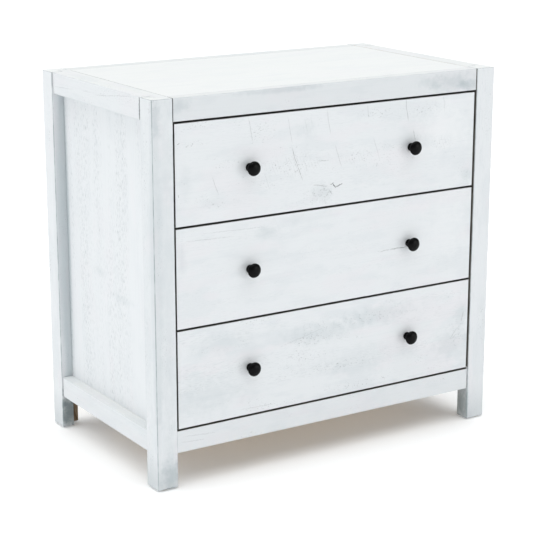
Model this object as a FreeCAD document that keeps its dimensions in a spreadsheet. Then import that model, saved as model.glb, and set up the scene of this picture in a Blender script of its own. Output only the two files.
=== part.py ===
import FreeCAD, Part
import math
import os

import Sketcher
from FreeCAD import Vector

# A chest of three drawers in rough-sawn whitewashed wood, on four square posts.
# Frame: +Z up, +X to the right seen from the front, the drawers face -Y. The origin is on the
# floor, at the centre of the chest's outline with its knobs. Every size is in millimetres.

SIZES = {
    # Case, over the posts
    "overall_width": 813,
    "overall_depth": 470,
    "overall_height": 772,
    # Posts
    "post_width": 45,
    "post_depth": 45,
    "post_bevel": 1.6,
    "post_end_bevel": 0.8,
    # Rails and their tenons
    "rail_underside": 72,
    "front_rail_height": 45,
    "front_rail_thickness": 22,
    "front_recess": 2.5,
    "side_rail_height": 44,
    "side_rail_recess": 2.5,
    "rear_rail_thickness": 30,
    "rail_bevel": 1.8,
    "tenon_length": 18,
    "tenon_thickness": 10,
    "tenon_shoulder": 6,
    "rear_tenon_setback": 4,
    # Side panels, let into rebates of the posts and the rails
    "side_panel_thickness": 20,
    "panel_front_lap": 12,
    "panel_rear_lap": 20,
    "panel_end_lap": 10,
    # Top and its battens
    "top_thickness": 20,
    "top_bevel": 1,
    "batten_width": 20,
    "batten_height": 20,
    # Back panel
    "back_panel_thickness": 4,
    "back_panel_post_lap": 10,
    "back_panel_rail_lap": 30,
    # Corner blocks and glides
    "block_leg": 40,
    "block_height": 30,
    "block_lift": 8,
    "glide_diameter": 24,
    "glide_height": 3,
    "glide_inset": 16,
    # Drawers
    "drawer_count": 3,
    "drawer_gap": 4,
    "drawer_front_thickness": 20,
    "drawer_bevel": 1.2,
    "box_board": 12,
    "box_lift": 15,
    "box_headroom": 34,
    "box_rear_space": 63.5,
    "bottom_thickness": 5,
    "bottom_lift": 12,
    "groove_depth": 6,
    "tail_count": 4,
    "tail_slope": 6,
    "pin_width": 6,
    # Telescoping slides
    "slide_thickness": 12.7,
    "slide_height": 45,
    "slide_setback": 2,
    "slide_lift": 60,
    "slide_gauge": 1.2,
    "slide_play": 0.4,
    "slide_reach": 9.6,
    "slide_lip": 2.6,
    # Knobs. A depth is measured back from the tip
    "knob_spacing": 388,
    "knob_length": 24,
    "knob_diameter": 29,
    "knob_base_diameter": 15.5,
    "knob_neck_diameter": 10,
    "knob_neck_start": 3.6,
    "knob_neck_end": 7.4,
    "knob_head_depth": 11,
    "knob_head_step": 3,
    "knob_rim_depth": 7,
    "knob_crown_depth": 2.9,
    "knob_crown_step": 3.4,
    "knob_thread_depth": 10,
    # Screws of the knobs
    "screw_diameter": 4,
    "screw_head_diameter": 8,
    "screw_head_height": 2.4,
    "screw_fit": 0.15,
}

# Places that follow from the sizes. An x is a distance from the middle plane, a y or z a place.
# Places of a drawer are heights above the bottom edge of its front.
PLACES = {
    "half_width": "Sizes.overall_width / 2",
    "front": "(Sizes.knob_length - Sizes.front_recess - Sizes.overall_depth) / 2",
    "back": "front + Sizes.overall_depth",
    "opening_half": "half_width - Sizes.post_width",
    "panel_outer": "opening_half + Sizes.side_panel_thickness",
    "side_rail_outer": "half_width - Sizes.side_rail_recess",
    "side_tenon_outer": "(side_rail_outer + panel_outer + Sizes.tenon_thickness) / 2",
    "front_post_back": "front + Sizes.post_depth",
    "rear_post_front": "back - Sizes.post_depth",
    "panel_front": "front_post_back - Sizes.panel_front_lap",
    "panel_rear": "rear_post_front + Sizes.panel_rear_lap",
    "front_face": "front + Sizes.front_recess",
    "front_rail_back": "front_face + Sizes.front_rail_thickness",
    "front_tenon": "(front_face + front_rail_back - Sizes.tenon_thickness) / 2",
    "rear_rail_back": "back - Sizes.back_panel_thickness",
    "rear_rail_front": "rear_rail_back - Sizes.rear_rail_thickness",
    "rear_tenon": "rear_rail_back - Sizes.rear_tenon_setback - Sizes.tenon_thickness",
    "front_bottom_rail_top": "Sizes.rail_underside + Sizes.front_rail_height",
    "front_top_rail_bottom": "Sizes.overall_height - Sizes.front_rail_height",
    "side_bottom_rail_top": "Sizes.rail_underside + Sizes.side_rail_height",
    "side_top_rail_bottom": "Sizes.overall_height - Sizes.side_rail_height",
    "panel_bottom": "side_bottom_rail_top - Sizes.panel_end_lap",
    "panel_top": "side_top_rail_bottom + Sizes.panel_end_lap",
    "top_underside": "Sizes.overall_height - Sizes.top_thickness",
    "batten_bottom": "top_underside - Sizes.batten_height",
    "back_panel_half": "opening_half + Sizes.back_panel_post_lap",
    "back_panel_bottom": "front_bottom_rail_top - Sizes.back_panel_rail_lap",
    "back_panel_top": "front_top_rail_bottom + Sizes.back_panel_rail_lap",
    "block_bottom": "Sizes.rail_underside + Sizes.block_lift",
    "glide_x": "half_width - Sizes.glide_inset",
    "glide_y": "Sizes.overall_depth / 2 - Sizes.glide_inset",
    "drawer_space": "front_top_rail_bottom - front_bottom_rail_top",
    "drawer_pitch": "(drawer_space - Sizes.drawer_gap) / Sizes.drawer_count",
    "drawer_front_height": "drawer_pitch - Sizes.drawer_gap",
    "drawer_front_half": "opening_half - Sizes.drawer_gap",
    "first_drawer": "front_bottom_rail_top + Sizes.drawer_gap",
    "box_front": "front_face + Sizes.drawer_front_thickness",
    "box_rear": "rear_rail_front - Sizes.box_rear_space",
    "box_half": "opening_half - Sizes.slide_thickness",
    "box_inner_half": "box_half - Sizes.box_board",
    "box_inner_front": "box_front + Sizes.box_board",
    "box_inner_rear": "box_rear - Sizes.box_board",
    "box_top": "drawer_front_height - Sizes.box_headroom",
    "bottom_half": "box_inner_half + Sizes.groove_depth",
    "bottom_front": "box_inner_front - Sizes.groove_depth",
    "bottom_rear": "box_inner_rear + Sizes.groove_depth",
    "bottom_low": "Sizes.box_lift + Sizes.bottom_lift",
    "bottom_high": "bottom_low + Sizes.bottom_thickness",
    "tail_pitch": "(box_top - Sizes.box_lift) / Sizes.tail_count",
    "tail_run": "tail_pitch * (Sizes.tail_count - 1)",
    "tail_flare": "Sizes.box_board / Sizes.tail_slope",
    "tail_low": "Sizes.box_lift + Sizes.pin_width / 2",
    "tail_high": "Sizes.box_lift + tail_pitch - Sizes.pin_width / 2",
    "knob_z": "drawer_front_height / 2",
    "slide_z": "Sizes.box_lift + Sizes.slide_lift",
    "slide_front": "box_front + Sizes.slide_setback",
    "slide_rear": "box_rear + Sizes.slide_setback",
    "slide_half": "Sizes.slide_height / 2",
    "outer_lip": "slide_half - Sizes.slide_gauge - Sizes.slide_lip",
    "middle_web": "Sizes.slide_gauge + Sizes.slide_play",
    "middle_half": "slide_half - Sizes.slide_gauge - Sizes.slide_play",
    "middle_neck": "Sizes.slide_reach - Sizes.slide_gauge - Sizes.slide_play",
    "middle_reach": "Sizes.slide_thickness - Sizes.slide_gauge",
    "middle_step": "outer_lip - Sizes.slide_play",
    "middle_lip": "middle_step - Sizes.slide_gauge - Sizes.slide_lip",
    "inner_half": "middle_lip - Sizes.slide_play",
    "inner_hook": "middle_step - Sizes.slide_gauge - Sizes.slide_play",
    "inner_reach": "middle_reach - Sizes.slide_gauge - Sizes.slide_play",
}

SIDES = {"left": -1, "right": 1}
DRAWERS = ("bottom", "middle", "top")
TOUCH = 1e-4

document = FreeCAD.newDocument("chest")
parts = []


def make_sheet(name, cells):
    """A sheet with one named cell a line."""
    sheet = document.addObject("Spreadsheet::Sheet", name)
    for row, (alias, content) in enumerate(cells, start=1):
        sheet.set(f"A{row}", alias)
        sheet.set(f"B{row}", content)
        sheet.setAlias(f"B{row}", alias)
    document.recompute()
    return sheet


sizes = make_sheet("Sizes", [(alias, str(size)) for alias, size in SIZES.items()])
make_sheet("Places", [(alias, f"={formula}") for alias, formula in PLACES.items()])


def value(expression):
    """The number that an expression on the two sheets gives."""
    return float(sizes.evalExpression(expression))


def new_body(name, height="0"):
    """A body for one node, standing at a height above the floor."""
    body = document.addObject("PartDesign::Body", name)
    body.Label = name
    body.setExpression("Placement.Base.z", height)
    parts.append(body)
    return body


def origin_feature(body, role):
    """The body's own origin plane or axis of that role."""
    return next(item for item in body.Origin.OriginFeatures if item.Role == role)


def new_sketch(body, name, plane, offset):
    """A sketch on an origin plane of the body, moved along X, Y or Z to an offset."""
    sketch = body.newObject("Sketcher::SketchObject", name)
    sketch.AttachmentSupport = [(origin_feature(body, f"{plane}_Plane"), "")]
    sketch.MapMode = "FlatFace"
    along_normal = f"-({offset})" if plane == "XZ" else offset
    sketch.setExpression("AttachmentOffset.Base.z", along_normal)
    return sketch


def add_outline(sketch, corners):
    """A closed outline with each corner held at a pair of expressions."""
    points = [Vector(value(x), value(y)) for x, y in corners]
    first = sketch.GeometryCount
    for index, point in enumerate(points):
        following = (index + 1) % len(points)
        sketch.addGeometry(Part.LineSegment(point, points[following]), False)
    for index, corner in enumerate(corners):
        following = (index + 1) % len(corners)
        joint = ("Coincident", first + index, 2, first + following, 1)
        sketch.addConstraint(Sketcher.Constraint(*joint))
        hold_point(sketch, first + index, 1, corner)


def hold_point(sketch, edge, end, place):
    """Ties a point of an edge to a pair of expressions."""
    for kind, expression in zip(("DistanceX", "DistanceY"), place):
        distance = (kind, -1, 1, edge, end, value(expression))
        held = sketch.addConstraint(Sketcher.Constraint(*distance))
        sketch.setExpression(f"Constraints[{held}]", expression)


def add_circle(sketch, centre, radius):
    """A circle with its centre at a pair of expressions."""
    middle = Vector(value(centre[0]), value(centre[1]))
    circle = sketch.addGeometry(Part.Circle(middle, Vector(0, 0, 1), value(radius)), False)
    held = sketch.addConstraint(Sketcher.Constraint("Radius", circle, value(radius)))
    sketch.setExpression(f"Constraints[{held}]", radius)
    hold_point(sketch, circle, 3, centre)


def rectangle(x_span, y_span):
    """The corners of a rectangle between two pairs of expressions."""
    return [
        (x_span[0], y_span[0]),
        (x_span[1], y_span[0]),
        (x_span[1], y_span[1]),
        (x_span[0], y_span[1]),
    ]


def beside(side, span):
    """A span of distances from the middle plane, from low to high x, on one side of it."""
    inner, outer = span
    if SIDES[side] < 0:
        return (f"-({outer})", f"-({inner})")
    return (inner, outer)


def sketch_of(body, name, plane, offset, outlines=(), circles=()):
    """A sketch of closed outlines, and of circles given as a centre and a radius."""
    sketch = new_sketch(body, name, plane, offset)
    for outline in outlines:
        add_outline(sketch, outline)
    for centre, radius in circles:
        add_circle(sketch, centre, radius)
    return sketch


def add_prism(body, name, plane, span, outlines):
    """Material between two places along the plane's normal. A pad on XZ runs towards -Y."""
    low, high = span
    base = high if plane == "XZ" else low
    pad = body.newObject("PartDesign::Pad", name)
    pad.Profile = sketch_of(body, f"{name}_sketch", plane, base, outlines)
    pad.setExpression("Length", f"({high}) - ({low})")
    body.Tip = pad
    document.recompute()
    return pad


def cut_prism(body, name, plane, span, outlines=(), circles=()):
    """A hole between two places along the plane's normal. A pocket on XZ runs towards +Y."""
    low, high = span
    before = body.Shape.Volume
    base = low if plane == "XZ" else high
    pocket = body.newObject("PartDesign::Pocket", name)
    pocket.Profile = sketch_of(body, f"{name}_sketch", plane, base, outlines, circles)
    pocket.setExpression("Length", f"({high}) - ({low})")
    body.Tip = pocket
    document.recompute()
    if body.Shape.Volume > before - TOUCH:
        raise RuntimeError(f"{name} cuts nothing from {body.Label}")
    return pocket


def turn(body, name, plane, axis, outline):
    """A revolved outline, about the sketch's own horizontal or vertical axis."""
    sketch = sketch_of(body, f"{name}_sketch", plane, "0", [outline])
    revolution = body.newObject("PartDesign::Revolution", name)
    revolution.Profile = sketch
    revolution.ReferenceAxis = (sketch, [axis])
    revolution.Angle = 360
    body.Tip = revolution
    document.recompute()
    return revolution


def repeat(body, feature, axis, run, count, second=None):
    """Evenly spaced copies of a feature over a run, in one direction or two."""
    pattern = body.newObject("PartDesign::LinearPattern", f"{feature.Name}_row")
    pattern.Originals = [feature]
    pattern.Direction = (origin_feature(body, f"{axis}_Axis"), [""])
    pattern.setExpression("Length", run)
    pattern.setExpression("Occurrences", count)
    if second:
        pattern.Direction2 = (origin_feature(body, f"{second[0]}_Axis"), [""])
        pattern.setExpression("Length2", second[1])
        pattern.setExpression("Occurrences2", second[2])
    body.Tip = pattern
    document.recompute()


def edges_in_plane(shape, axis, place):
    """Names of the edges that lie in the plane at that place along an axis."""
    return [
        f"Edge{number}"
        for number, edge in enumerate(shape.Edges, start=1)
        if all(abs(getattr(vertex.Point, axis) - place) < TOUCH for vertex in edge.Vertexes)
    ]


def upright_edges(shape, corners):
    """Names of the straight vertical edges that stand at the given x and y."""
    names = []
    for number, edge in enumerate(shape.Edges, start=1):
        low, high = (vertex.Point for vertex in (edge.Vertexes[0], edge.Vertexes[-1]))
        upright = abs(low.x - high.x) + abs(low.y - high.y) < TOUCH < abs(low.z - high.z)
        at_corner = any(math.hypot(low.x - x, low.y - y) < TOUCH for x, y in corners)
        if upright and at_corner:
            names.append(f"Edge{number}")
    return names


def bevel(body, name, edges, size):
    """A small bevel on named edges of the body's last feature."""
    base = body.Tip
    feature = body.newObject("PartDesign::Chamfer", name)
    feature.Base = (base, edges)
    feature.setExpression("Size", size)
    body.Tip = feature
    document.recompute()


def rail_height(level, run):
    """The underside and the top of the top or bottom rails, on the front or side run."""
    if level == "bottom":
        return ("Sizes.rail_underside", f"Places.{run}_bottom_rail_top")
    return (f"Places.{run}_top_rail_bottom", "Sizes.overall_height")


def tenon_height(level, run):
    """Where the tenons of those rails lie in height."""
    low, high = rail_height(level, run)
    return (f"{low} + Sizes.tenon_shoulder", f"{high} - Sizes.tenon_shoulder")


def cross_tenon_depth(end):
    """Where the tenons of the front or rear rails lie in depth."""
    return (f"Places.{end}_tenon", f"Places.{end}_tenon + Sizes.tenon_thickness")


SIDE_TENON = ("Places.side_tenon_outer - Sizes.tenon_thickness", "Places.side_tenon_outer")
SIDE_TENON_RUN = (
    "Places.front_post_back - Sizes.tenon_length",
    "Places.rear_post_front + Sizes.tenon_length",
)
CROSS_TENON_REACH = "Places.opening_half + Sizes.tenon_length"
BACK_PANEL_HEIGHT = ("Places.back_panel_bottom", "Places.back_panel_top")


def make_post(end, side):
    """A square post with a rebate for the side panel, and mortises for its four rails."""
    body = new_body(f"{end}_{side}_post")
    sign = SIDES[side]
    if end == "front":
        outer_y, inner_y, rebate_y = "Places.front", "Places.front_post_back", "Places.panel_front"
        side_mortise = (SIDE_TENON_RUN[0], "Places.front_post_back")
    else:
        outer_y, inner_y, rebate_y = "Places.back", "Places.rear_post_front", "Places.panel_rear"
        side_mortise = ("Places.rear_post_front", SIDE_TENON_RUN[1])
    outer_x = f"{sign} * Places.half_width"
    rebate_x = f"{sign} * Places.panel_outer"
    inner_x = f"{sign} * Places.opening_half"
    section = [
        (outer_x, outer_y),
        (inner_x, outer_y),
        (inner_x, rebate_y),
        (rebate_x, rebate_y),
        (rebate_x, inner_y),
        (outer_x, inner_y),
    ]
    add_prism(body, "length", "XY", ("Sizes.glide_height", "Sizes.overall_height"), [section])
    shown = [(outer_x, outer_y), (outer_x, inner_y)]
    if end == "front":
        shown.append((inner_x, outer_y))
    corners = [(value(x), value(y)) for x, y in shown]
    bevel(body, "corners", upright_edges(body.Shape, corners), "Sizes.post_bevel")
    upper_end = edges_in_plane(body.Shape, "z", value("Sizes.overall_height"))
    bevel(body, "upper_end", upper_end, "Sizes.post_end_bevel")
    cross_reach = beside(side, ("Places.opening_half", CROSS_TENON_REACH))
    for level in ("bottom", "top"):
        outline = rectangle(beside(side, SIDE_TENON), side_mortise)
        cut_prism(body, f"{level}_side_mortise", "XY", tenon_height(level, "side"), [outline])
        outline = rectangle(cross_reach, cross_tenon_depth(end))
        cut_prism(body, f"{level}_cross_mortise", "XY", tenon_height(level, "front"), [outline])
    if end == "rear":
        rebate = beside(side, ("Places.opening_half", "Places.back_panel_half"))
        outline = rectangle(rebate, ("Places.rear_rail_back", "Places.back"))
        cut_prism(body, "back_rebate", "XY", BACK_PANEL_HEIGHT, [outline])


def make_side_rail(level, side):
    """A side rail: an outer part between the posts, an inner part as deep as the panel's
    rebates, and a tenon at each end."""
    body = new_body(f"{side}_{level}_side_rail")
    low, high = rail_height(level, "side")
    face = beside(side, ("Places.panel_outer", "Places.side_rail_outer"))
    between_posts = ("Places.front_post_back", "Places.rear_post_front")
    add_prism(body, "face", "XZ", between_posts, [rectangle(face, (low, high))])
    outer_place = SIDES[side] * value("Places.side_rail_outer")
    outer_edges = edges_in_plane(body.Shape, "x", outer_place)
    bevel(body, "face_edges", outer_edges, "Sizes.rail_bevel")
    inner = (low, "Places.panel_bottom") if level == "bottom" else ("Places.panel_top", high)
    behind = beside(side, ("Places.opening_half", "Places.panel_outer"))
    panel_run = ("Places.panel_front", "Places.panel_rear")
    add_prism(body, "inner_part", "XZ", panel_run, [rectangle(behind, inner)])
    tenon = rectangle(beside(side, SIDE_TENON), tenon_height(level, "side"))
    add_prism(body, "tenons", "XZ", SIDE_TENON_RUN, [tenon])


def make_cross_rail(end, level):
    """A front or rear rail with a tenon at each end."""
    body = new_body(f"{end}_{level}_rail")
    depth = {
        "front": ("Places.front_face", "Places.front_rail_back"),
        "rear": ("Places.rear_rail_front", "Places.rear_rail_back"),
    }[end]
    width = ("-Places.opening_half", "Places.opening_half")
    add_prism(body, "board", "YZ", width, [rectangle(depth, rail_height(level, "front"))])
    if end == "front":
        face_edges = edges_in_plane(body.Shape, "y", value("Places.front_face"))
        bevel(body, "face_edges", face_edges, "Sizes.rail_bevel")
    tenon = rectangle(cross_tenon_depth(end), tenon_height(level, "front"))
    add_prism(body, "tenons", "YZ", (f"-({CROSS_TENON_REACH})", CROSS_TENON_REACH), [tenon])


def make_side_panel(side):
    body = new_body(f"{side}_side_panel")
    across = beside(side, ("Places.opening_half", "Places.panel_outer"))
    outline = rectangle(across, ("Places.panel_front", "Places.panel_rear"))
    add_prism(body, "board", "XY", ("Places.panel_bottom", "Places.panel_top"), [outline])


def make_top_panel():
    """The top lies between the rails. Its edge at the front rail is left sharp."""
    body = new_body("top_panel")
    width = ("-Places.opening_half", "Places.opening_half")
    outline = rectangle(width, ("Places.front_rail_back", "Places.rear_rail_front"))
    add_prism(body, "board", "XY", ("Places.top_underside", "Sizes.overall_height"), [outline])
    upper = set(edges_in_plane(body.Shape, "z", value("Sizes.overall_height")))
    upper -= set(edges_in_plane(body.Shape, "y", value("Places.front_rail_back")))
    bevel(body, "seams", sorted(upper), "Sizes.top_bevel")


def make_batten(side):
    """A strip under the top, against the side rail and the posts."""
    body = new_body(f"{side}_top_batten")
    height = ("Places.batten_bottom", "Places.top_underside")
    across = beside(side, ("Places.opening_half - Sizes.batten_width", "Places.opening_half"))
    length = ("Places.front_rail_back", "Places.rear_rail_front")
    add_prism(body, "strip", "XZ", length, [rectangle(across, height)])


def make_back_panel():
    body = new_body("back_panel")
    width = ("-Places.back_panel_half", "Places.back_panel_half")
    depth = ("Places.rear_rail_back", "Places.back")
    add_prism(body, "sheet", "XZ", depth, [rectangle(width, BACK_PANEL_HEIGHT)])


def make_corner_blocks():
    """Triangular blocks, glued into the corners between the bottom rails."""
    body = new_body("corner_blocks")
    outlines = []
    for sign in SIDES.values():
        corner_x = f"{sign} * Places.opening_half"
        far_x = f"{sign} * (Places.opening_half - Sizes.block_leg)"
        for corner_y, turned in (("Places.front_rail_back", "+"), ("Places.rear_rail_front", "-")):
            far_y = f"{corner_y} {turned} Sizes.block_leg"
            outlines.append([(corner_x, corner_y), (far_x, corner_y), (corner_x, far_y)])
    height = ("Places.block_bottom", "Places.block_bottom + Sizes.block_height")
    add_prism(body, "blocks", "XY", height, outlines)


def make_glides():
    body = new_body("foot_glides")
    body.setExpression("Placement.Base.x", "-Places.glide_x")
    body.setExpression("Placement.Base.y", "Places.front + Sizes.glide_inset")
    radius = "Sizes.glide_diameter / 2"
    height = "Sizes.glide_height"
    section = [("0", "0"), (radius, "0"), (radius, height), ("0", height)]
    glide = turn(body, "glide", "XZ", "V_Axis", section)
    repeat(body, glide, "X", "2 * Places.glide_x", "2", ("Y", "2 * Places.glide_y", "2"))


def tail_outline(end):
    """A dovetail seen from the side, from its shoulder to the wide end of the board."""
    wide_y, shoulder_y = {
        "front": ("Places.box_front", "Places.box_inner_front"),
        "rear": ("Places.box_rear", "Places.box_inner_rear"),
    }[end]
    return [
        (wide_y, "Places.tail_low"),
        (shoulder_y, "Places.tail_low + Places.tail_flare"),
        (shoulder_y, "Places.tail_high - Places.tail_flare"),
        (wide_y, "Places.tail_high"),
    ]


def make_drawer_front(name, height):
    """The board that shows, with holes for the knobs' screws."""
    body = new_body(f"{name}_drawer_front", height)
    width = ("-Places.drawer_front_half", "Places.drawer_front_half")
    depth = ("Places.front_face", "Places.box_front")
    add_prism(body, "board", "XZ", depth, [rectangle(width, ("0", "Places.drawer_front_height"))])
    face_edges = edges_in_plane(body.Shape, "y", value("Places.front_face"))
    bevel(body, "face_edges", face_edges, "Sizes.drawer_bevel")
    cut_knob_holes(body, depth)


def cut_knob_holes(body, depth):
    radius = "Sizes.screw_diameter / 2 + Sizes.screw_fit"
    centres = [(f"{sign} * Sizes.knob_spacing / 2", "Places.knob_z") for sign in (-1, 1)]
    cut_prism(body, "knob_holes", "XZ", depth, circles=[(centre, radius) for centre in centres])


def make_box_end(name, end, height):
    """The front or back of the drawer's box: pins at both ends and a groove for the bottom."""
    body = new_body(f"{name}_drawer_box_{end}", height)
    depth, groove = {
        "front": (("box_front", "box_inner_front"), ("bottom_front", "box_inner_front")),
        "back": (("box_inner_rear", "box_rear"), ("box_inner_rear", "bottom_rear")),
    }[end]
    depth, groove = [tuple(f"Places.{place}" for place in span) for span in (depth, groove)]
    width = ("-Places.box_half", "Places.box_half")
    add_prism(body, "board", "XZ", depth, [rectangle(width, ("Sizes.box_lift", "Places.box_top"))])
    tail = tail_outline("front" if end == "front" else "rear")
    for side in SIDES:
        reach = beside(side, ("Places.box_inner_half", "Places.box_half"))
        socket = cut_prism(body, f"{side}_socket", "YZ", reach, [tail])
        repeat(body, socket, "Z", "Places.tail_run", "Sizes.tail_count")
    groove_outline = rectangle(groove, ("Places.bottom_low", "Places.bottom_high"))
    inner_width = ("-Places.box_inner_half", "Places.box_inner_half")
    cut_prism(body, "groove", "YZ", inner_width, [groove_outline])
    if end == "front":
        cut_knob_holes(body, depth)


def make_box_side(name, side, height):
    """A side of the drawer's box: tails at both ends and a stopped groove for the bottom."""
    body = new_body(f"{name}_drawer_{side}_side", height)
    across = beside(side, ("Places.box_inner_half", "Places.box_half"))
    length = ("Places.box_inner_front", "Places.box_inner_rear")
    outline = rectangle(length, ("Sizes.box_lift", "Places.box_top"))
    add_prism(body, "board", "YZ", across, [outline])
    for end in ("front", "rear"):
        tail = add_prism(body, f"{end}_tail", "YZ", across, [tail_outline(end)])
        repeat(body, tail, "Z", "Places.tail_run", "Sizes.tail_count")
    groove = rectangle(
        ("Places.bottom_front", "Places.bottom_rear"), ("Places.bottom_low", "Places.bottom_high")
    )
    groove_depth = beside(side, ("Places.box_inner_half", "Places.bottom_half"))
    cut_prism(body, "groove", "YZ", groove_depth, [groove])


def make_drawer_bottom(name, height):
    body = new_body(f"{name}_drawer_bottom", height)
    width = ("-Places.bottom_half", "Places.bottom_half")
    outline = rectangle(width, ("Places.bottom_front", "Places.bottom_rear"))
    add_prism(body, "sheet", "XY", ("Places.bottom_low", "Places.bottom_high"), [outline])


def make_knobs(name, height):
    """Two turned knobs: a flared foot, a neck and a domed head, bored for the screw."""
    body = new_body(f"{name}_drawer_knobs", f"{height} + Places.knob_z")
    body.setExpression("Placement.Base.x", "-Sizes.knob_spacing / 2")
    body.setExpression("Placement.Base.y", "Places.front_face")
    bore = "Sizes.screw_diameter / 2 + Sizes.screw_fit"
    radius = "Sizes.knob_diameter / 2"
    section = [
        ("Sizes.knob_thread_depth", "0"),
        ("Sizes.knob_thread_depth", bore),
        ("0", bore),
        ("0", "Sizes.knob_base_diameter / 2"),
        ("Sizes.knob_neck_start", "Sizes.knob_neck_diameter / 2"),
        ("Sizes.knob_neck_end", "Sizes.knob_neck_diameter / 2"),
        ("Sizes.knob_length - Sizes.knob_head_depth", f"{radius} - Sizes.knob_head_step"),
        ("Sizes.knob_length - Sizes.knob_rim_depth", radius),
        ("Sizes.knob_length - Sizes.knob_crown_depth", f"{radius} - Sizes.knob_crown_step"),
        ("Sizes.knob_length", "0"),
    ]
    outline = [(f"-({along})", out) for along, out in section]
    knob = turn(body, "knob", "YZ", "H_Axis", outline)
    repeat(body, knob, "X", "Sizes.knob_spacing", "2")


def make_knob_screws(name, height):
    """Screws from inside the box into the knobs. Each head's seat is at the body's origin."""
    body = new_body(f"{name}_drawer_knob_screws", f"{height} + Places.knob_z")
    body.setExpression("Placement.Base.x", "-Sizes.knob_spacing / 2")
    body.setExpression("Placement.Base.y", "Places.box_inner_front")
    head = "Sizes.screw_head_diameter / 2"
    shank = "Sizes.screw_diameter / 2"
    tip = "-(Places.box_inner_front - Places.front_face + Sizes.knob_thread_depth)"
    outline = [
        ("Sizes.screw_head_height", "0"),
        ("Sizes.screw_head_height", head),
        ("0", head),
        ("0", shank),
        (tip, shank),
        (tip, "0"),
    ]
    screw = turn(body, "screw", "YZ", "H_Axis", outline)
    repeat(body, screw, "X", "Sizes.knob_spacing", "2")


def slide_section(side, upper_half):
    """A rolled section, from the corners of its upper half. A corner is a distance from the
    case's side and a height above the slide's middle."""
    whole = upper_half + [(out, f"-({rise})") for out, rise in reversed(upper_half)]
    sign = SIDES[side]
    return [(f"{sign} * (Places.opening_half - ({out}))", rise) for out, rise in whole]


CABINET_MEMBER = [
    ("0", "Places.slide_half"),
    ("Sizes.slide_reach", "Places.slide_half"),
    ("Sizes.slide_reach", "Places.outer_lip"),
    ("Sizes.slide_reach - Sizes.slide_gauge", "Places.outer_lip"),
    ("Sizes.slide_reach - Sizes.slide_gauge", "Places.slide_half - Sizes.slide_gauge"),
    ("Sizes.slide_gauge", "Places.slide_half - Sizes.slide_gauge"),
]
MIDDLE_MEMBER = [
    ("Places.middle_web", "Places.middle_half"),
    ("Places.middle_neck", "Places.middle_half"),
    ("Places.middle_neck", "Places.middle_step"),
    ("Places.middle_reach", "Places.middle_step"),
    ("Places.middle_reach", "Places.middle_lip"),
    ("Places.middle_reach - Sizes.slide_gauge", "Places.middle_lip"),
    ("Places.middle_reach - Sizes.slide_gauge", "Places.middle_step - Sizes.slide_gauge"),
    ("Places.middle_neck - Sizes.slide_gauge", "Places.middle_step - Sizes.slide_gauge"),
    ("Places.middle_neck - Sizes.slide_gauge", "Places.middle_half - Sizes.slide_gauge"),
    ("Places.middle_web + Sizes.slide_gauge", "Places.middle_half - Sizes.slide_gauge"),
]
DRAWER_MEMBER = [
    ("Sizes.slide_thickness", "Places.inner_half"),
    ("Places.inner_reach", "Places.inner_half"),
    ("Places.inner_reach", "Places.inner_hook"),
    ("Places.inner_reach - Sizes.slide_gauge", "Places.inner_hook"),
    ("Places.inner_reach - Sizes.slide_gauge", "Places.inner_half - Sizes.slide_gauge"),
    ("Sizes.slide_thickness - Sizes.slide_gauge", "Places.inner_half - Sizes.slide_gauge"),
]


def make_slide_members(node, height, sides, upper_half):
    """Members of a telescoping slide, rolled from one strip, on the given sides of a drawer."""
    body = new_body(node, f"{height} + Places.slide_z")
    outlines = [slide_section(side, upper_half) for side in sides]
    add_prism(body, "member", "XZ", ("Places.slide_front", "Places.slide_rear"), outlines)


def make_drawer(name, order):
    height = f"Places.first_drawer + {order} * Places.drawer_pitch"
    make_drawer_front(name, height)
    for end in ("front", "back"):
        make_box_end(name, end, height)
    for side in SIDES:
        make_box_side(name, side, height)
        make_slide_members(f"{name}_slide_{side}_case_member", height, [side], CABINET_MEMBER)
        make_slide_members(f"{name}_slide_{side}_drawer_member", height, [side], DRAWER_MEMBER)
    make_slide_members(f"{name}_slide_middle_members", height, list(SIDES), MIDDLE_MEMBER)
    make_drawer_bottom(name, height)
    make_knobs(name, height)
    make_knob_screws(name, height)


def make_case():
    for side in SIDES:
        for end in ("front", "rear"):
            make_post(end, side)
        for level in ("top", "bottom"):
            make_side_rail(level, side)
        make_side_panel(side)
        make_batten(side)
    for end in ("front", "rear"):
        for level in ("top", "bottom"):
            make_cross_rail(end, level)
    make_top_panel()
    make_back_panel()
    make_corner_blocks()
    make_glides()


def check_model():
    """Stops if an object failed or a part's shape isn't sound."""
    for item in document.Objects:
        if {"Invalid", "Error"} & set(item.State):
            raise RuntimeError(f"{item.Label} is {item.State}")
    for part in parts:
        if part.Shape.isNull() or not part.Shape.isValid() or not part.Shape.Solids:
            raise RuntimeError(f"{part.Label} has no sound shape")


def write_parts():
    os.makedirs("parts", exist_ok=True)
    for part in parts:
        part.Shape.exportStep(os.path.join("parts", f"{part.Label}.step"))
        print(f"{part.Label}: {len(part.Shape.Solids)} solid(s), {part.Shape.Volume:.0f} mm3")


make_case()
for order, name in enumerate(DRAWERS):
    make_drawer(name, order)
document.recompute()
check_model()
write_parts()
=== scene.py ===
"""Looks for a three-drawer chest in rough-sawn whitewashed wood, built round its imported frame.

Everything is in metres in the frame of the CAD model: +Z up, the drawers face -Y.
"""

import itertools
import math

import bmesh
import bpy
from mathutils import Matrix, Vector, noise


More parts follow.
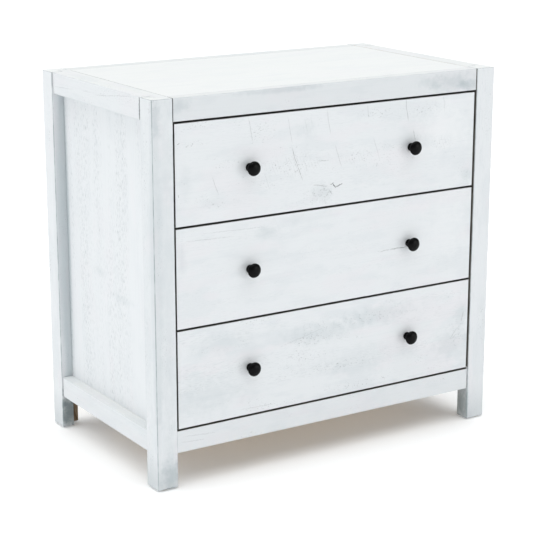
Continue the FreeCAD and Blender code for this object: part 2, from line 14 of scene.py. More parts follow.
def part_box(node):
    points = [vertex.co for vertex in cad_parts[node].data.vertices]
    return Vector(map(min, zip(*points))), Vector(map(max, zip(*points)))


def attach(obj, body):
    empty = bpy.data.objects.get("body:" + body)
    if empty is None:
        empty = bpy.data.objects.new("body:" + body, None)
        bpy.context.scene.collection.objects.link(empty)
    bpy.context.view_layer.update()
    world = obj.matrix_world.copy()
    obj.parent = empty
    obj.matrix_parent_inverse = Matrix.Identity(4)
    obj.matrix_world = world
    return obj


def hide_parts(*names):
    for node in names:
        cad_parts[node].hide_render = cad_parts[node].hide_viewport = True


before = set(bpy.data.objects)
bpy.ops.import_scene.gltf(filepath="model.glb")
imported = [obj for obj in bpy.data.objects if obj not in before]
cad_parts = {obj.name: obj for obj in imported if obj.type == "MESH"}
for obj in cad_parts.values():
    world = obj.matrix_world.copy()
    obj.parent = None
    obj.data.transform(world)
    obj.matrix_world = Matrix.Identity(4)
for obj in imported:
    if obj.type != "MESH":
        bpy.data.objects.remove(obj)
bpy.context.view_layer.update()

MM = 0.001
DRAWERS = ("bottom", "middle", "top")
SIDES = {"left": -1, "right": 1}
AXES = {"X": 0, "Y": 1, "Z": 2}
FACE_AXES = {"X": (1, 2), "Y": (0, 2), "Z": (0, 1)}

# How often each noise changes in a metre: along the grain and twice across it, but from the
# patch outline on along X, Y and Z.
RATES = {
    "cloud": (9, 26, 26),
    "warm cloud": (7, 19, 19),
    "streak": (6, 260, 260),
    "pore row": (1.5, 36, 36),
    "pore": (84, 860, 860),
    "speck field": (11, 34, 34),
    "speck": (260, 480, 480),
    "rubbed corner": (40, 120, 120),
    "ridge": (14, 900, 900),
    "ring bend": (1.6, 9, 9),
    "softwood fibre": (12, 620, 620),
    "veneer figure": (1.1, 8, 8),
    "veneer fibre": (22, 480, 480),
    "drawn line": (4, 1500, 1500),
    "zinc tint": (14, 60, 60),
    "patch outline": (64, 64, 64),
    "cut path": (22, 22, 22),
    "cut depth": (420, 420, 260),
    "hatch gaps": (150, 150, 60),
    "orange peel": (1300, 1300, 1300),
    "rubbed metal": (160, 160, 160),
    "nylon grime": (240, 240, 240),
    "floor cast": (0.8, 0.8, 0.8),
}


# Node trees


def linear(code):
    """The linear colour of a six-digit sRGB code, with alpha."""
    colour = []
    for start in (0, 2, 4):
        channel = int(code[start : start + 2], 16) / 255
        bright = ((channel + 0.055) / 1.055) ** 2.4
        colour.append(bright if channel > 0.04045 else channel / 12.92)
    return (*colour, 1.0)


class Graph:
    """A node tree, written as expressions that return sockets."""

    def __init__(self, tree):
        self.tree = tree

    def add(self, kind, inputs=None, **settings):
        """A new node with its settings. Each input is a socket to link or a value."""
        node = self.tree.nodes.new(kind)
        for name, setting in settings.items():
            setattr(node, name, setting)
        for slot, content in (inputs or {}).items():
            if isinstance(content, bpy.types.NodeSocket):
                self.tree.links.new(content, node.inputs[slot])
            elif content is not None:
                node.inputs[slot].default_value = content
        return node

    def math(self, operation, first, second=None, third=None, clamp=False):
        inputs = {0: first, 1: second, 2: third}
        return self.add("ShaderNodeMath", inputs, operation=operation, use_clamp=clamp).outputs[0]

    def times(self, first, second):
        return self.math("MULTIPLY", first, second)

    def vector(self, operation, first, second=None):
        node = self.add("ShaderNodeVectorMath", {0: first, 1: second}, operation=operation)
        return node.outputs["Value" if operation in ("LENGTH", "DOT_PRODUCT") else "Vector"]

    def scaled(self, place, factors):
        return self.vector("MULTIPLY", place, factors)

    def split(self, vector):
        """The three components of a vector, by number or by axis."""
        return self.add("ShaderNodeSeparateXYZ", {0: vector}).outputs

    def facing(self):
        """The components of the direction in which a face looks."""
        return self.split(self.add("ShaderNodeNewGeometry").outputs["Normal"])

    def noise(self, place, factors, detail=2.0, roughness=0.5, distortion=0.0):
        """Noise over a place whose three axes are scaled one by one."""
        inputs = {
            "Vector": self.scaled(place, factors),
            "Scale": 1.0,
            "Detail": detail,
            "Roughness": roughness,
            "Distortion": distortion,
        }
        return self.add("ShaderNodeTexNoise", inputs).outputs["Fac"]

    def step(self, content, low, high, to_low=0.0, to_high=1.0):
        """A soft step of a value between two limits."""
        inputs = {0: content, 1: low, 2: high, 3: to_low, 4: to_high}
        return self.add("ShaderNodeMapRange", inputs, interpolation_type="SMOOTHSTEP").outputs[0]

    def mix(self, factor, first, second):
        """A mix of two colours. The mix node's colour sockets are 6 and 7, and 2 comes out."""
        inputs = {0: factor, 6: first, 7: second}
        return self.add("ShaderNodeMix", inputs, data_type="RGBA").outputs[2]

    def group(self, tree, inputs):
        """The result of a node group."""
        return self.add("ShaderNodeGroup", inputs, node_tree=tree).outputs[0]


def new_group(name, inputs):
    """A node group that works out a number. Returns its graph, its inputs and its end."""
    tree = bpy.data.node_groups.new(name, "ShaderNodeTree")
    for label, kind in inputs.items():
        tree.interface.new_socket(label, in_out="INPUT", socket_type=kind)
    tree.interface.new_socket("Result", in_out="OUTPUT", socket_type="NodeSocketFloat")
    graph = Graph(tree)
    start = graph.add("NodeGroupInput").outputs
    return graph, start, graph.add("NodeGroupOutput")


def new_material(name, **shader):
    """A material with a Principled shader. Returns the material, its graph and the shader."""
    material = bpy.data.materials.new(name)
    material.use_nodes = True
    material.node_tree.nodes.clear()
    graph = Graph(material.node_tree)
    labels = {label.replace("_", " "): content for label, content in shader.items()}
    principled = graph.add("ShaderNodeBsdfPrincipled", labels)
    out = graph.add("ShaderNodeOutputMaterial")
    graph.tree.links.new(principled.outputs[0], out.inputs["Surface"])
    return material, graph, principled


def connect(graph, principled, **sockets):
    """Links sockets to the inputs of a shader, named with underscores."""
    for label, socket in sockets.items():
        graph.tree.links.new(socket, principled.inputs[label.replace("_", " ")])


def bump(graph, height, distance):
    """The normal of a relief, from its height and how deep it is in metres."""
    inputs = {"Height": height, "Distance": distance, "Strength": 1.0}
    return graph.add("ShaderNodeBump", inputs).outputs["Normal"]


# Wood


def object_place(graph):
    """A place on the chest at rest, in metres."""
    return graph.add("ShaderNodeTexCoord").outputs["Object"]


def attribute(graph, name, output):
    """What a mesh stores at its vertices under a name."""
    return graph.add("ShaderNodeAttribute", attribute_name=name).outputs[output]


def grain_place(graph, axis):
    """A place whose X runs along the grain: a board's own, or a CAD node's by its axis."""
    if axis is None:
        return attribute(graph, "grain", "Vector")
    split = graph.split(object_place(graph))
    order = {"X": (0, 1, 2), "Y": (1, 2, 0), "Z": (2, 0, 1)}[axis]
    joined = {slot: split[index] for slot, index in enumerate(order)}
    return graph.add("ShaderNodeCombineXYZ", joined).outputs[0]


def make_stroke_group():
    """A node group: how strongly a place lies on a straight stroke between two points."""
    inputs = dict.fromkeys(("Place", "Start", "Run"), "NodeSocketVector")
    inputs["Width"] = "NodeSocketFloat"
    graph, start, end = new_group("stroke", inputs)
    away = graph.vector("SUBTRACT", start["Place"], start["Start"])
    reach = graph.vector("DOT_PRODUCT", away, start["Run"])
    length = graph.vector("DOT_PRODUCT", start["Run"], start["Run"])
    share = graph.math("DIVIDE", reach, length, clamp=True)
    scaling = {0: start["Run"], "Scale": share}
    nearest = graph.add("ShaderNodeVectorMath", scaling, operation="SCALE").outputs["Vector"]
    gap = graph.vector("LENGTH", graph.vector("SUBTRACT", away, nearest))
    taper = graph.times(share, graph.math("SUBTRACT", 1.0, share))
    width = graph.times(start["Width"], graph.math("ADD", 0.3, taper))
    shown = graph.step(graph.math("DIVIDE", gap, width), 1.0, 3.0, 1.0, 0.0)
    graph.tree.links.new(shown, end.inputs[0])
    return graph.tree


def make_patch_group():
    """A node group: how strongly a place lies in a soft patch with a ragged outline."""
    inputs = dict.fromkeys(("Place", "Centre", "Size"), "NodeSocketVector")
    graph, start, end = new_group("patch", inputs)
    away = graph.vector("SUBTRACT", start["Place"], start["Centre"])
    gap = graph.vector("LENGTH", graph.vector("DIVIDE", away, start["Size"]))
    ragged = graph.noise(start["Place"], RATES["patch outline"], detail=3, roughness=0.6)
    raised = graph.math("MULTIPLY_ADD", ragged, 1.5, gap)
    shown = graph.step(raised, 0.85, 1.85, 1.0, 0.0)
    graph.tree.links.new(shown, end.inputs[0])
    return graph.tree


STROKE = make_stroke_group()
PATCH = make_patch_group()

PAINT = linear("E4E7E9")
PAINT_COOL = linear("D8DDE0")
PAINT_WARM = linear("E6E5E8")
# Painted light: the less blue paint of faces that look up, a tint of the light from above.
PAINT_LIT_FROM_ABOVE = linear("E5E7E6")
# Painted light: a lighter paint for the brighter right ends of the drawer fronts.
PAINTED_LIGHT = linear("ECEEEF")
# Stain colours. They also paint shade on the legs below the case.
STAIN_AND_SHADE = linear("8B979A")
DARK_STAIN_AND_SHADE = linear("464A4B")
COOL_DARK = linear("A5B3B7")
PLY_LIGHT = linear("D3BD99")
PLY_DARK = linear("C6AA80")
PLY_FIBRE = linear("A88A63")
PLY_EDGE = linear("6E5236")

BLADE_RADIUS = 442 * MM
BLADE_ABOVE = 155 * MM
CUT_WIDTH = 0.8 * MM
CUT_SWAY = 9 * MM
CUT_STAIN = 0.55
HATCH_PERIOD = 7.5 * MM
HATCH_EDGE = (0.3 * MM, 1.5 * MM)
PATCH_DEPTH = 5 * MM
STROKE_SWAY = 4 * MM
SPECK_STRENGTH = 0.65
FOOT_DARKENING_TOP = 95 * MM
PAINT_RELIEF = 0.16 * MM
RINGS_PER_METRE = 95
RING_BEND = 0.16
VENEER_VEINS = 22


def spot(node, face, across, up):
    """A place on a face of a node, in millimetres from the face's centre. The face is a side of
    the node's box, such as -Y."""
    low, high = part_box(node)
    place = (low + high) / 2
    axis = AXES[face[1]]
    place[axis] = low[axis] if face[0] == "-" else high[axis]
    first, second = FACE_AXES[face[1]]
    place[first] += across * MM
    place[second] += up * MM
    return place


def patch(node, face, across, up, wide, high, strength, colour=STAIN_AND_SHADE):
    """A soft patch of another shade on a face of a node. It hardly reaches round the corners."""
    size = [PATCH_DEPTH] * 3
    first, second = FACE_AXES[face[1]]
    size[first] = wide * MM
    size[second] = high * MM
    return spot(node, face, across, up), tuple(size), strength, colour


def stroke(node, face, start, finish, strength, width=0.7, colour=DARK_STAIN_AND_SHADE):
    """A straight scratch, crack, line of grain or line of painted shade on a face of a node."""
    return spot(node, face, *start), spot(node, face, *finish), width * MM, strength, colour


def on_face(kind, node, face, *rows):
    """Patches or strokes on one face of a node, each from its row of numbers."""
    return [kind(node, face, *row) for row in rows]


def soft_patch(graph, place, centre, size):
    """How strongly a place lies in a patch."""
    return graph.group(PATCH, {"Place": place, "Centre": centre, "Size": size})


def blade_arcs(graph, place, blade):
    """How far along the board a place is from the saw blade's arc through X 0 at the blade's
    height, and the place's own height."""
    split = graph.split(place)
    below = graph.math("SUBTRACT", blade, split["Z"])
    sagitta = graph.times(graph.times(below, below), 0.5 / BLADE_RADIUS)
    return graph.math("SUBTRACT", split["X"], sagitta), split["Z"]


def saw_marks(graph, place, blade, cuts, hatch):
    """Arcs that a circular saw left across a face that looks along Y: single deep cuts, and
    fine hatching in a few patches."""
    wander = graph.noise(place, RATES["cut path"], detail=2)
    swayed = graph.vector("ADD", place, graph.scaled(wander, (CUT_SWAY, 0, 0)))
    along, height = blade_arcs(graph, swayed, blade)
    ragged = graph.noise(place, RATES["cut depth"], detail=1)
    ragged = graph.step(ragged, 0.3, 0.55, 0.35, 1.0)
    marks = 0.0
    for offset, middle, half, strength in cuts:
        gap = graph.math("ABSOLUTE", graph.math("SUBTRACT", along, offset))
        line = graph.step(gap, CUT_WIDTH * 0.4, CUT_WIDTH, strength, 0.0)
        away = graph.math("ABSOLUTE", graph.math("SUBTRACT", height, middle))
        shown = graph.step(away, half * 0.6, half * 1.1, 1.0, 0.0)
        marks = graph.math("MAXIMUM", marks, graph.times(line, shown))
    for centre, size, strength, _ in hatch:
        gap = graph.math("PINGPONG", along, HATCH_PERIOD / 2)
        line = graph.step(gap, *HATCH_EDGE, strength, 0.0)
        broken = graph.step(graph.noise(place, RATES["hatch gaps"], detail=2), 0.42, 0.6)
        shown = graph.times(soft_patch(graph, place, centre, size), broken)
        marks = graph.math("MAXIMUM", marks, graph.times(line, shown))
    return graph.times(marks, ragged)


def paint_coat(graph, grain, cloudy):
    """A cloudy coat of paint with streaks along the grain. Faces that look up get a less blue paint,
    a painted tint of the light from above. Returns its colour and the streaks.
    """
    cloud = graph.step(graph.noise(grain, RATES["cloud"], detail=4, roughness=0.6), 0.47, 0.62)
    warm = graph.noise(grain, RATES["warm cloud"], detail=3, roughness=0.6)
    warm = graph.step(warm, 0.5, 0.64)
    # Painted light: faces that look up get the less blue top paint, a tint of the light from above.
    colour = graph.mix(graph.step(graph.facing()["Z"], 0.7, 0.95), PAINT, PAINT_LIT_FROM_ABOVE)
    colour = graph.mix(graph.times(cloud, cloudy), colour, PAINT_COOL)
    colour = graph.mix(graph.times(warm, cloudy * 1.3), colour, PAINT_WARM)
    streaks = graph.noise(grain, RATES["streak"], detail=2, roughness=0.6)
    return graph.mix(graph.step(streaks, 0.5, 0.76, 0.0, 0.2), colour, PAINT_COOL), streaks


def pore_rows(graph, grain, strength):
    """Long pores in rows, where the wire brush opened the soft wood."""
    rows = graph.step(graph.noise(grain, RATES["pore row"], detail=1), 0.34, 0.7)
    pores = graph.step(graph.noise(grain, RATES["pore"], detail=1), 0.56, 0.68)
    return graph.times(graph.times(rows, pores), strength)


def dark_specks(graph, place, grain, strength, dotted):
    """Dark specks, in loose fields all over and in the fields with a place of their own."""
    fields = graph.noise(grain, RATES["speck field"], detail=2)
    fields = graph.step(fields, 0.54, 0.7, 0.0, strength)
    for centre, size, share, _ in dotted:
        shown = graph.times(soft_patch(graph, place, centre, size), share)
        fields = graph.math("MAXIMUM", fields, shown)
    dots = graph.step(graph.noise(grain, RATES["speck"], detail=1), 0.63, 0.71)
    return graph.times(graph.times(fields, dots), SPECK_STRENGTH)


def add_patches(graph, place, patches, colour):
    """The colour with patches of other shades on it."""
    for centre, size, strength, shade in patches:
        shown = graph.times(soft_patch(graph, place, centre, size), strength)
        colour = graph.mix(shown, colour, shade)
    return colour


def add_strokes(graph, place, strokes, colour, depth):
    """The colour and the depth with slightly unsteady strokes in them."""
    uneven = graph.add("ShaderNodeTexNoise", {"Vector": place, "Scale": 260.0, "Detail": 2.0})
    jitter = graph.vector("SUBTRACT", uneven.outputs["Color"], (0.5, 0.5, 0.5))
    swayed = graph.vector("ADD", place, graph.scaled(jitter, (STROKE_SWAY,) * 3))
    for start, finish, width, strength, shade in strokes:
        inputs = {"Place": swayed, "Start": start, "Run": finish - start, "Width": width}
        shown = graph.times(graph.group(STROKE, inputs), strength)
        colour = graph.mix(shown, colour, shade)
        depth = graph.math("MAXIMUM", depth, shown)
    return colour, depth


def rub_corners(graph, grain, worn, colour):
    """The colour with a little of the wood showing through at the corners, and with the
    board's own tone."""
    edge = attribute(graph, "edge", "Fac")
    rubbed = graph.noise(grain, RATES["rubbed corner"], detail=3)
    rubbed = graph.step(rubbed, 0.35, 0.62, 0.6, 1.3)
    wear = graph.times(graph.times(edge, rubbed), worn)
    colour = graph.mix(wear, colour, STAIN_AND_SHADE)
    return graph.mix(attribute(graph, "tone", "Fac"), colour, STAIN_AND_SHADE)


def whitewash(name, cloudy=0.35, dashes=0.1, specks=0.5, worn=0.3, foot=0.0, saw=None,
              patches=(), dotted=(), strokes=()):
    """Whitewash on rough-sawn wood: a cloudy coat, streaks along the grain, pores that took
    less paint, rubbed corners, and the marks that stand at a place of their own.

    The numbers are strengths, foot that of the darkening towards the floor. Patches are other
    shades, and dotted ones are fields of specks."""
    material, graph, principled = new_material(name, Specular_IOR_Level=0.28)
    place = object_place(graph)
    grain = grain_place(graph, None)
    colour, streaks = paint_coat(graph, grain, cloudy)
    dash = pore_rows(graph, grain, dashes)
    colour = graph.mix(dash, colour, STAIN_AND_SHADE)
    speck = dark_specks(graph, place, grain, specks, dotted)
    colour = graph.mix(speck, colour, DARK_STAIN_AND_SHADE)
    depth = graph.math("MAXIMUM", dash, speck)
    if saw:
        cut = saw_marks(graph, place, **saw)
        colour = graph.mix(graph.times(cut, CUT_STAIN), colour, DARK_STAIN_AND_SHADE)
        depth = graph.math("MAXIMUM", depth, cut)
    colour = add_patches(graph, place, patches, colour)
    colour, depth = add_strokes(graph, place, strokes, colour, depth)
    # Darker towards the floor, fading out at the foot height.
    if foot:
        grime = graph.step(graph.split(place)["Z"], 0.0, FOOT_DARKENING_TOP, foot, 0.0)
        colour = graph.mix(grime, colour, STAIN_AND_SHADE)
    colour = rub_corners(graph, grain, worn, colour)

    ridges = graph.noise(grain, RATES["ridge"], detail=2)
    height = graph.math("MULTIPLY_ADD", depth, -1.6, graph.times(ridges, 0.3))
    height = graph.math("MULTIPLY_ADD", streaks, 0.5, height)
    roughness = graph.step(streaks, 0.3, 0.7, 0.55, 0.7)
    connect(graph, principled, Base_Color=colour, Roughness=roughness)
    connect(graph, principled, Normal=bump(graph, height, PAINT_RELIEF))
    return material


def raw_wood(name, axis=None, light="C9A67C", dark="A67E52"):
    """Planed softwood, bare or stained: wide soft rings, thin dark late wood and fibres."""
    material, graph, principled = new_material(name, Specular_IOR_Level=0.25)
    grain = grain_place(graph, axis)
    bend = graph.noise(grain, RATES["ring bend"], detail=2)
    split = graph.split(grain)
    across = graph.math("ADD", split["Y"], graph.times(split["Z"], 0.35))
    rings = graph.math("MULTIPLY_ADD", bend, RING_BEND, across)
    ring_age = graph.math("FRACT", graph.times(rings, RINGS_PER_METRE))
    late = graph.step(ring_age, 0.55, 1.0)
    fibre = graph.noise(grain, RATES["softwood fibre"], detail=2)
    colour = graph.mix(late, linear(light), linear(dark))
    colour = graph.mix(graph.step(fibre, 0.5, 0.75, 0, 0.4), colour, linear(dark))
    height = graph.math("MULTIPLY_ADD", fibre, 0.6, graph.times(late, 0.4))
    roughness = graph.step(late, 0.0, 1.0, 0.68, 0.55)
    connect(graph, principled, Base_Color=colour, Roughness=roughness)
    connect(graph, principled, Normal=bump(graph, height, 0.12 * MM))
    return material


def plywood(name, axis, thickness_axis, ply):
    """Rotary-cut veneer with a cathedral figure on the faces. An edge shows dark and light
    plies in turn, on average as thick as ply."""
    material, graph, principled = new_material(name, Specular_IOR_Level=0.3)
    grain = grain_place(graph, axis)
    figure = graph.noise(grain, RATES["veneer figure"], detail=2, distortion=0.6)
    contours = graph.math("FRACT", graph.times(figure, VENEER_VEINS))
    veins = graph.step(contours, 0.4, 1.0)
    fibre = graph.noise(grain, RATES["veneer fibre"], detail=2)
    colour = graph.mix(veins, PLY_LIGHT, PLY_DARK)
    colour = graph.mix(graph.step(fibre, 0.5, 0.72, 0, 0.35), colour, PLY_FIBRE)
    layer = graph.math("PINGPONG", graph.split(object_place(graph))[thickness_axis], ply)
    dark_ply = graph.step(layer, ply * 0.3, ply * 0.42, 0.5, 0.0)
    flat = graph.math("ABSOLUTE", graph.facing()[thickness_axis])
    on_edge = graph.step(flat, 0.4, 0.6, 1.0, 0.0)
    colour = graph.mix(graph.times(dark_ply, on_edge), colour, PLY_EDGE)
    connect(graph, principled, Base_Color=colour)
    connect(graph, principled, Roughness=graph.step(fibre, 0.3, 0.7, 0.5, 0.65))
    connect(graph, principled, Normal=bump(graph, fibre, 0.08 * MM))
    return material


# Metal, plastic and floor


def black_metal():
    """Satin black powder coat with a fine orange peel and rubbed high spots."""
    material, graph, principled = new_material("black_metal", Specular_IOR_Level=0.1)
    place = object_place(graph)
    peel = graph.noise(place, RATES["orange peel"], detail=2)
    rub = graph.step(graph.noise(place, RATES["rubbed metal"], detail=2), 0.55, 0.75)
    colour = graph.mix(graph.times(rub, 0.5), linear("040405"), linear("0B0B0C"))
    roughness = graph.step(peel, 0.3, 0.7, 0.26, 0.36)
    connect(graph, principled, Base_Color=colour, Roughness=roughness)
    connect(graph, principled, Normal=bump(graph, peel, 0.03 * MM))
    return material


def zinc_steel():
    """Bright zinc on rolled steel: drawn lines along the strip and faint passivation tints."""
    material, graph, principled = new_material("zinc_steel", Metallic=1.0)
    grain = grain_place(graph, "Y")
    drawn = graph.noise(grain, RATES["drawn line"], detail=2)
    tint = graph.noise(grain, RATES["zinc tint"], detail=2)
    colour = graph.mix(graph.step(tint, 0.4, 0.7), linear("B9BDC1"), linear("A9AFAE"))
    colour = graph.mix(graph.step(drawn, 0.5, 0.8, 0, 0.4), colour, linear("8A8E92"))
    connect(graph, principled, Base_Color=colour)
    connect(graph, principled, Roughness=graph.step(drawn, 0.3, 0.7, 0.26, 0.42))
    connect(graph, principled, Normal=bump(graph, drawn, 0.02 * MM))
    return material


def nylon():
    """Off-white nylon with a little grime."""
    material, graph, principled = new_material("glide_nylon", Specular_IOR_Level=0.45)
    place = object_place(graph)
    grime = graph.step(graph.noise(place, RATES["nylon grime"], detail=3), 0.5, 0.75)
    colour = graph.mix(graph.times(grime, 0.3), linear("D8D6CF"), linear("A5A198"))
    connect(graph, principled, Base_Color=colour)
    connect(graph, principled, Roughness=graph.step(grime, 0, 1, 0.38, 0.55))
    return material


def pale_floor():
    """A pale floor that glows a little, like the lit sweep of a studio."""
    white = (1.0, 1.0, 1.0, 1.0)
    material, graph, principled = new_material(
        "pale_floor", Specular_IOR_Level=0.1, Emission_Color=white, Emission_Strength=0.14)
    cast = graph.noise(object_place(graph), RATES["floor cast"], detail=2)
    colour = graph.mix(cast, linear("F3F4F4"), linear("F5F5F5"))
    connect(graph, principled, Base_Color=colour)
    connect(graph, principled, Roughness=graph.step(cast, 0.2, 0.8, 0.8, 0.9))
    return material


# Boards


ARC_STEPS = 4
FLAT_MARGIN = 0.7 * MM
END_MARGIN = 0.404 * MM
SHORTEST_RUN = 4 * FLAT_MARGIN
FACE_WAVE = 0.16 * MM
FACE_WAVE_SIZE = 60 * MM
NICK_DEPTH = 0.6 * MM
NICK_SIZE = 24 * MM
NICK_SEED = 7
ON_PLANE = 0.4 * MM
SHARP_ANGLE = math.radians(35)
WOOD_LAYERS = (("grain", "float_vector"), ("edge", "float"))


def run_shares(length, spacing, margin):
    """Shares of a straight run, evenly spaced, with one close to each end. A run that is very
    short has none."""
    if length < SHORTEST_RUN:
        return []
    count = max(1, round(length / spacing))
    return [margin / length, *(index / count for index in range(1, count)), 1 - margin / length]


def section_ring(corners, spacing):
    """Points round a closed anticlockwise outline of (place, radius) corners, all square. Each
    point is (place, normal, how much of a worn corner it is)."""
    arcs = []
    for index, (corner, radius) in enumerate(corners):
        arriving = (corner - corners[index - 1][0]).normalized()
        leaving = (corners[(index + 1) % len(corners)][0] - corner).normalized()
        first = Vector((arriving.y, -arriving.x))
        last = Vector((leaving.y, -leaving.x))
        centre = corner - (first + last) * radius
        if radius == 0:
            arcs.append([(corner, first + last, 0.0)])
            continue
        arc = []
        for step in range(ARC_STEPS + 1):
            angle = math.pi / 2 * step / ARC_STEPS
            normal = first * math.cos(angle) + last * math.sin(angle)
            arc.append((centre + normal * radius, normal, math.sin(2 * angle)))
        arcs.append(arc)
    ring = []
    for arc, following in zip(arcs, arcs[1:] + arcs[:1]):
        ring += arc
        start, end = arc[-1][0], following[0][0]
        way = (end - start).normalized()
        normal = Vector((way.y, -way.x))
        for share in run_shares((end - start).length, spacing, FLAT_MARGIN):
            ring.append((start.lerp(end, share), normal, 0.0))
    return ring


def stations(low, high, ease, spacing):
    """Places along a board from its low end: (place, how far in the ring is drawn, edge)."""
    near = [(low, ease + FLAT_MARGIN, 0.0)]
    for step in range(ARC_STEPS + 1):
        angle = math.pi / 2 * step / ARC_STEPS
        place = low + ease * (1 - math.cos(angle))
        near.append((place, ease * (1 - math.sin(angle)), math.sin(2 * angle)))
    far = [(low + high - place, drawn, edge) for place, drawn, edge in reversed(near)]
    start, end = near[-1][0], far[0][0]
    shares = run_shares(end - start, spacing, END_MARGIN)
    middle = [(start + (end - start) * share, 0.0, 0.0) for share in shares]
    return near + middle + far


def wave(place, seed, size):
    """A smooth random height from -1 to 1."""
    return noise.noise(place / size + Vector((seed, seed * 0.37, seed * 0.71)))


def anticlockwise(corners):
    """The corners in anticlockwise order."""
    area = 0.0
    for (first, _), (second, _) in zip(corners, corners[1:] + corners[:1]):
        area += first.x * second.y - second.x * first.y
    return corners if area > 0 else corners[::-1]


def add_board(mesh, axis, corners, span, ease, seed, spacing):
    """Adds one sawn board to a bmesh: an outline of ((u, v), radius) corners across the grain,
    swept along an axis. The outline's coordinates are the other two axes in cyclic order.

    The faces are a little uneven, and the corners are worn in places, always inwards."""
    grain_layer = mesh.verts.layers.float_vector["grain"]
    edge_layer = mesh.verts.layers.float["edge"]
    along, first, second = [(AXES[axis] + shift) % 3 for shift in range(3)]
    shift = Vector((seed * 1.31, seed * 0.83, seed * 0.47))
    outline = anticlockwise([(Vector(place), radius) for place, radius in corners])
    ring = section_ring(outline, spacing)
    rings = []
    for place, drawn, end_edge in stations(*span, ease, spacing):
        row = []
        for point, normal, edge in ring:
            position, inward = Vector((0, 0, 0)), Vector((0, 0, 0))
            position[along], position[first], position[second] = place, point.x, point.y
            inward[first], inward[second] = normal
            worn = max(edge, end_edge)
            uneven = 0.5 + 0.5 * wave(position, seed, FACE_WAVE_SIZE)
            nick = max(0.0, wave(position, seed + NICK_SEED, NICK_SIZE)) ** 2
            sink = FACE_WAVE * uneven * (1 - worn) + NICK_DEPTH * nick * worn
            vertex = mesh.verts.new(position - inward * (drawn + sink))
            vertex[grain_layer] = Vector((place, point.x, point.y)) + shift
            vertex[edge_layer] = worn
            row.append(vertex)
        rings.append(row)
    skin_rings(mesh, rings)


def skin_rings(mesh, rings):
    """Joins rings of vertices with faces and closes both ends."""
    for low, high in zip(rings, rings[1:]):
        for index in range(len(low)):
            following = (index + 1) % len(low)
            mesh.faces.new((low[index], low[following], high[following], high[index]))
    mesh.faces.new(rings[0][::-1])
    mesh.faces.new(rings[-1])


def new_board_mesh():
    """An empty bmesh whose vertices hold what the wood materials read."""
    mesh = bmesh.new()
    for name, kind in WOOD_LAYERS:
        getattr(mesh.verts.layers, kind).new(name)
    return mesh


def on_plane(face, axis, place, above=0.0):
    """Whether a face lies in the plane at a place along an axis, and above a height."""
    centre = face.calc_center_median()
    index = AXES[axis]
    near = abs(centre[index] - place) < ON_PLANE and abs(face.normal[index]) > 0.9
    return near and centre.z > above


def finish_piece(name, mesh, body, materials, tone=0.0, planes=()):
    """Turns a bmesh into a named piece that rides on a body. Each of the planes is the number
    of a material and where its faces lie, and the tone is how stained the whole piece is."""
    bmesh.ops.recalc_face_normals(mesh, faces=mesh.faces)
    mesh.normal_update()
    for face in mesh.faces:
        face.smooth = True
        for number, *plane in planes:
            if on_plane(face, *plane):
                face.material_index = number
    for edge in mesh.edges:
        edge.smooth = edge.calc_face_angle(math.pi) < SHARP_ANGLE
    data = bpy.data.meshes.new(name)
    mesh.to_mesh(data)
    mesh.free()
    shade = data.attributes.new("tone", "FLOAT", "POINT")
    shade.data.foreach_set("value", [tone] * len(data.vertices))
    for material in materials:
        data.materials.append(material)
    piece = bpy.data.objects.new(name, data)
    bpy.context.scene.collection.objects.link(piece)
    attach(piece, body)
    return piece


def finish_board(node, mesh, body, materials, tone=0.0, planes=()):
    """Turns a bmesh into the sawn board that stands in for a node."""
    piece = finish_piece(f"{node}_sawn", mesh, body, materials, tone, planes)
    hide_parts(node)


def box_corners(low, high, axis, radius):
    """The corners of a box seen along an axis, all with one radius."""
    first, second = [(AXES[axis] + shift) % 3 for shift in (1, 2)]
    places = [(low[first], low[second]), (high[first], low[second])]
    places += [(high[first], high[second]), (low[first], high[second])]
    return [(place, radius) for place in places]


# Materials in use


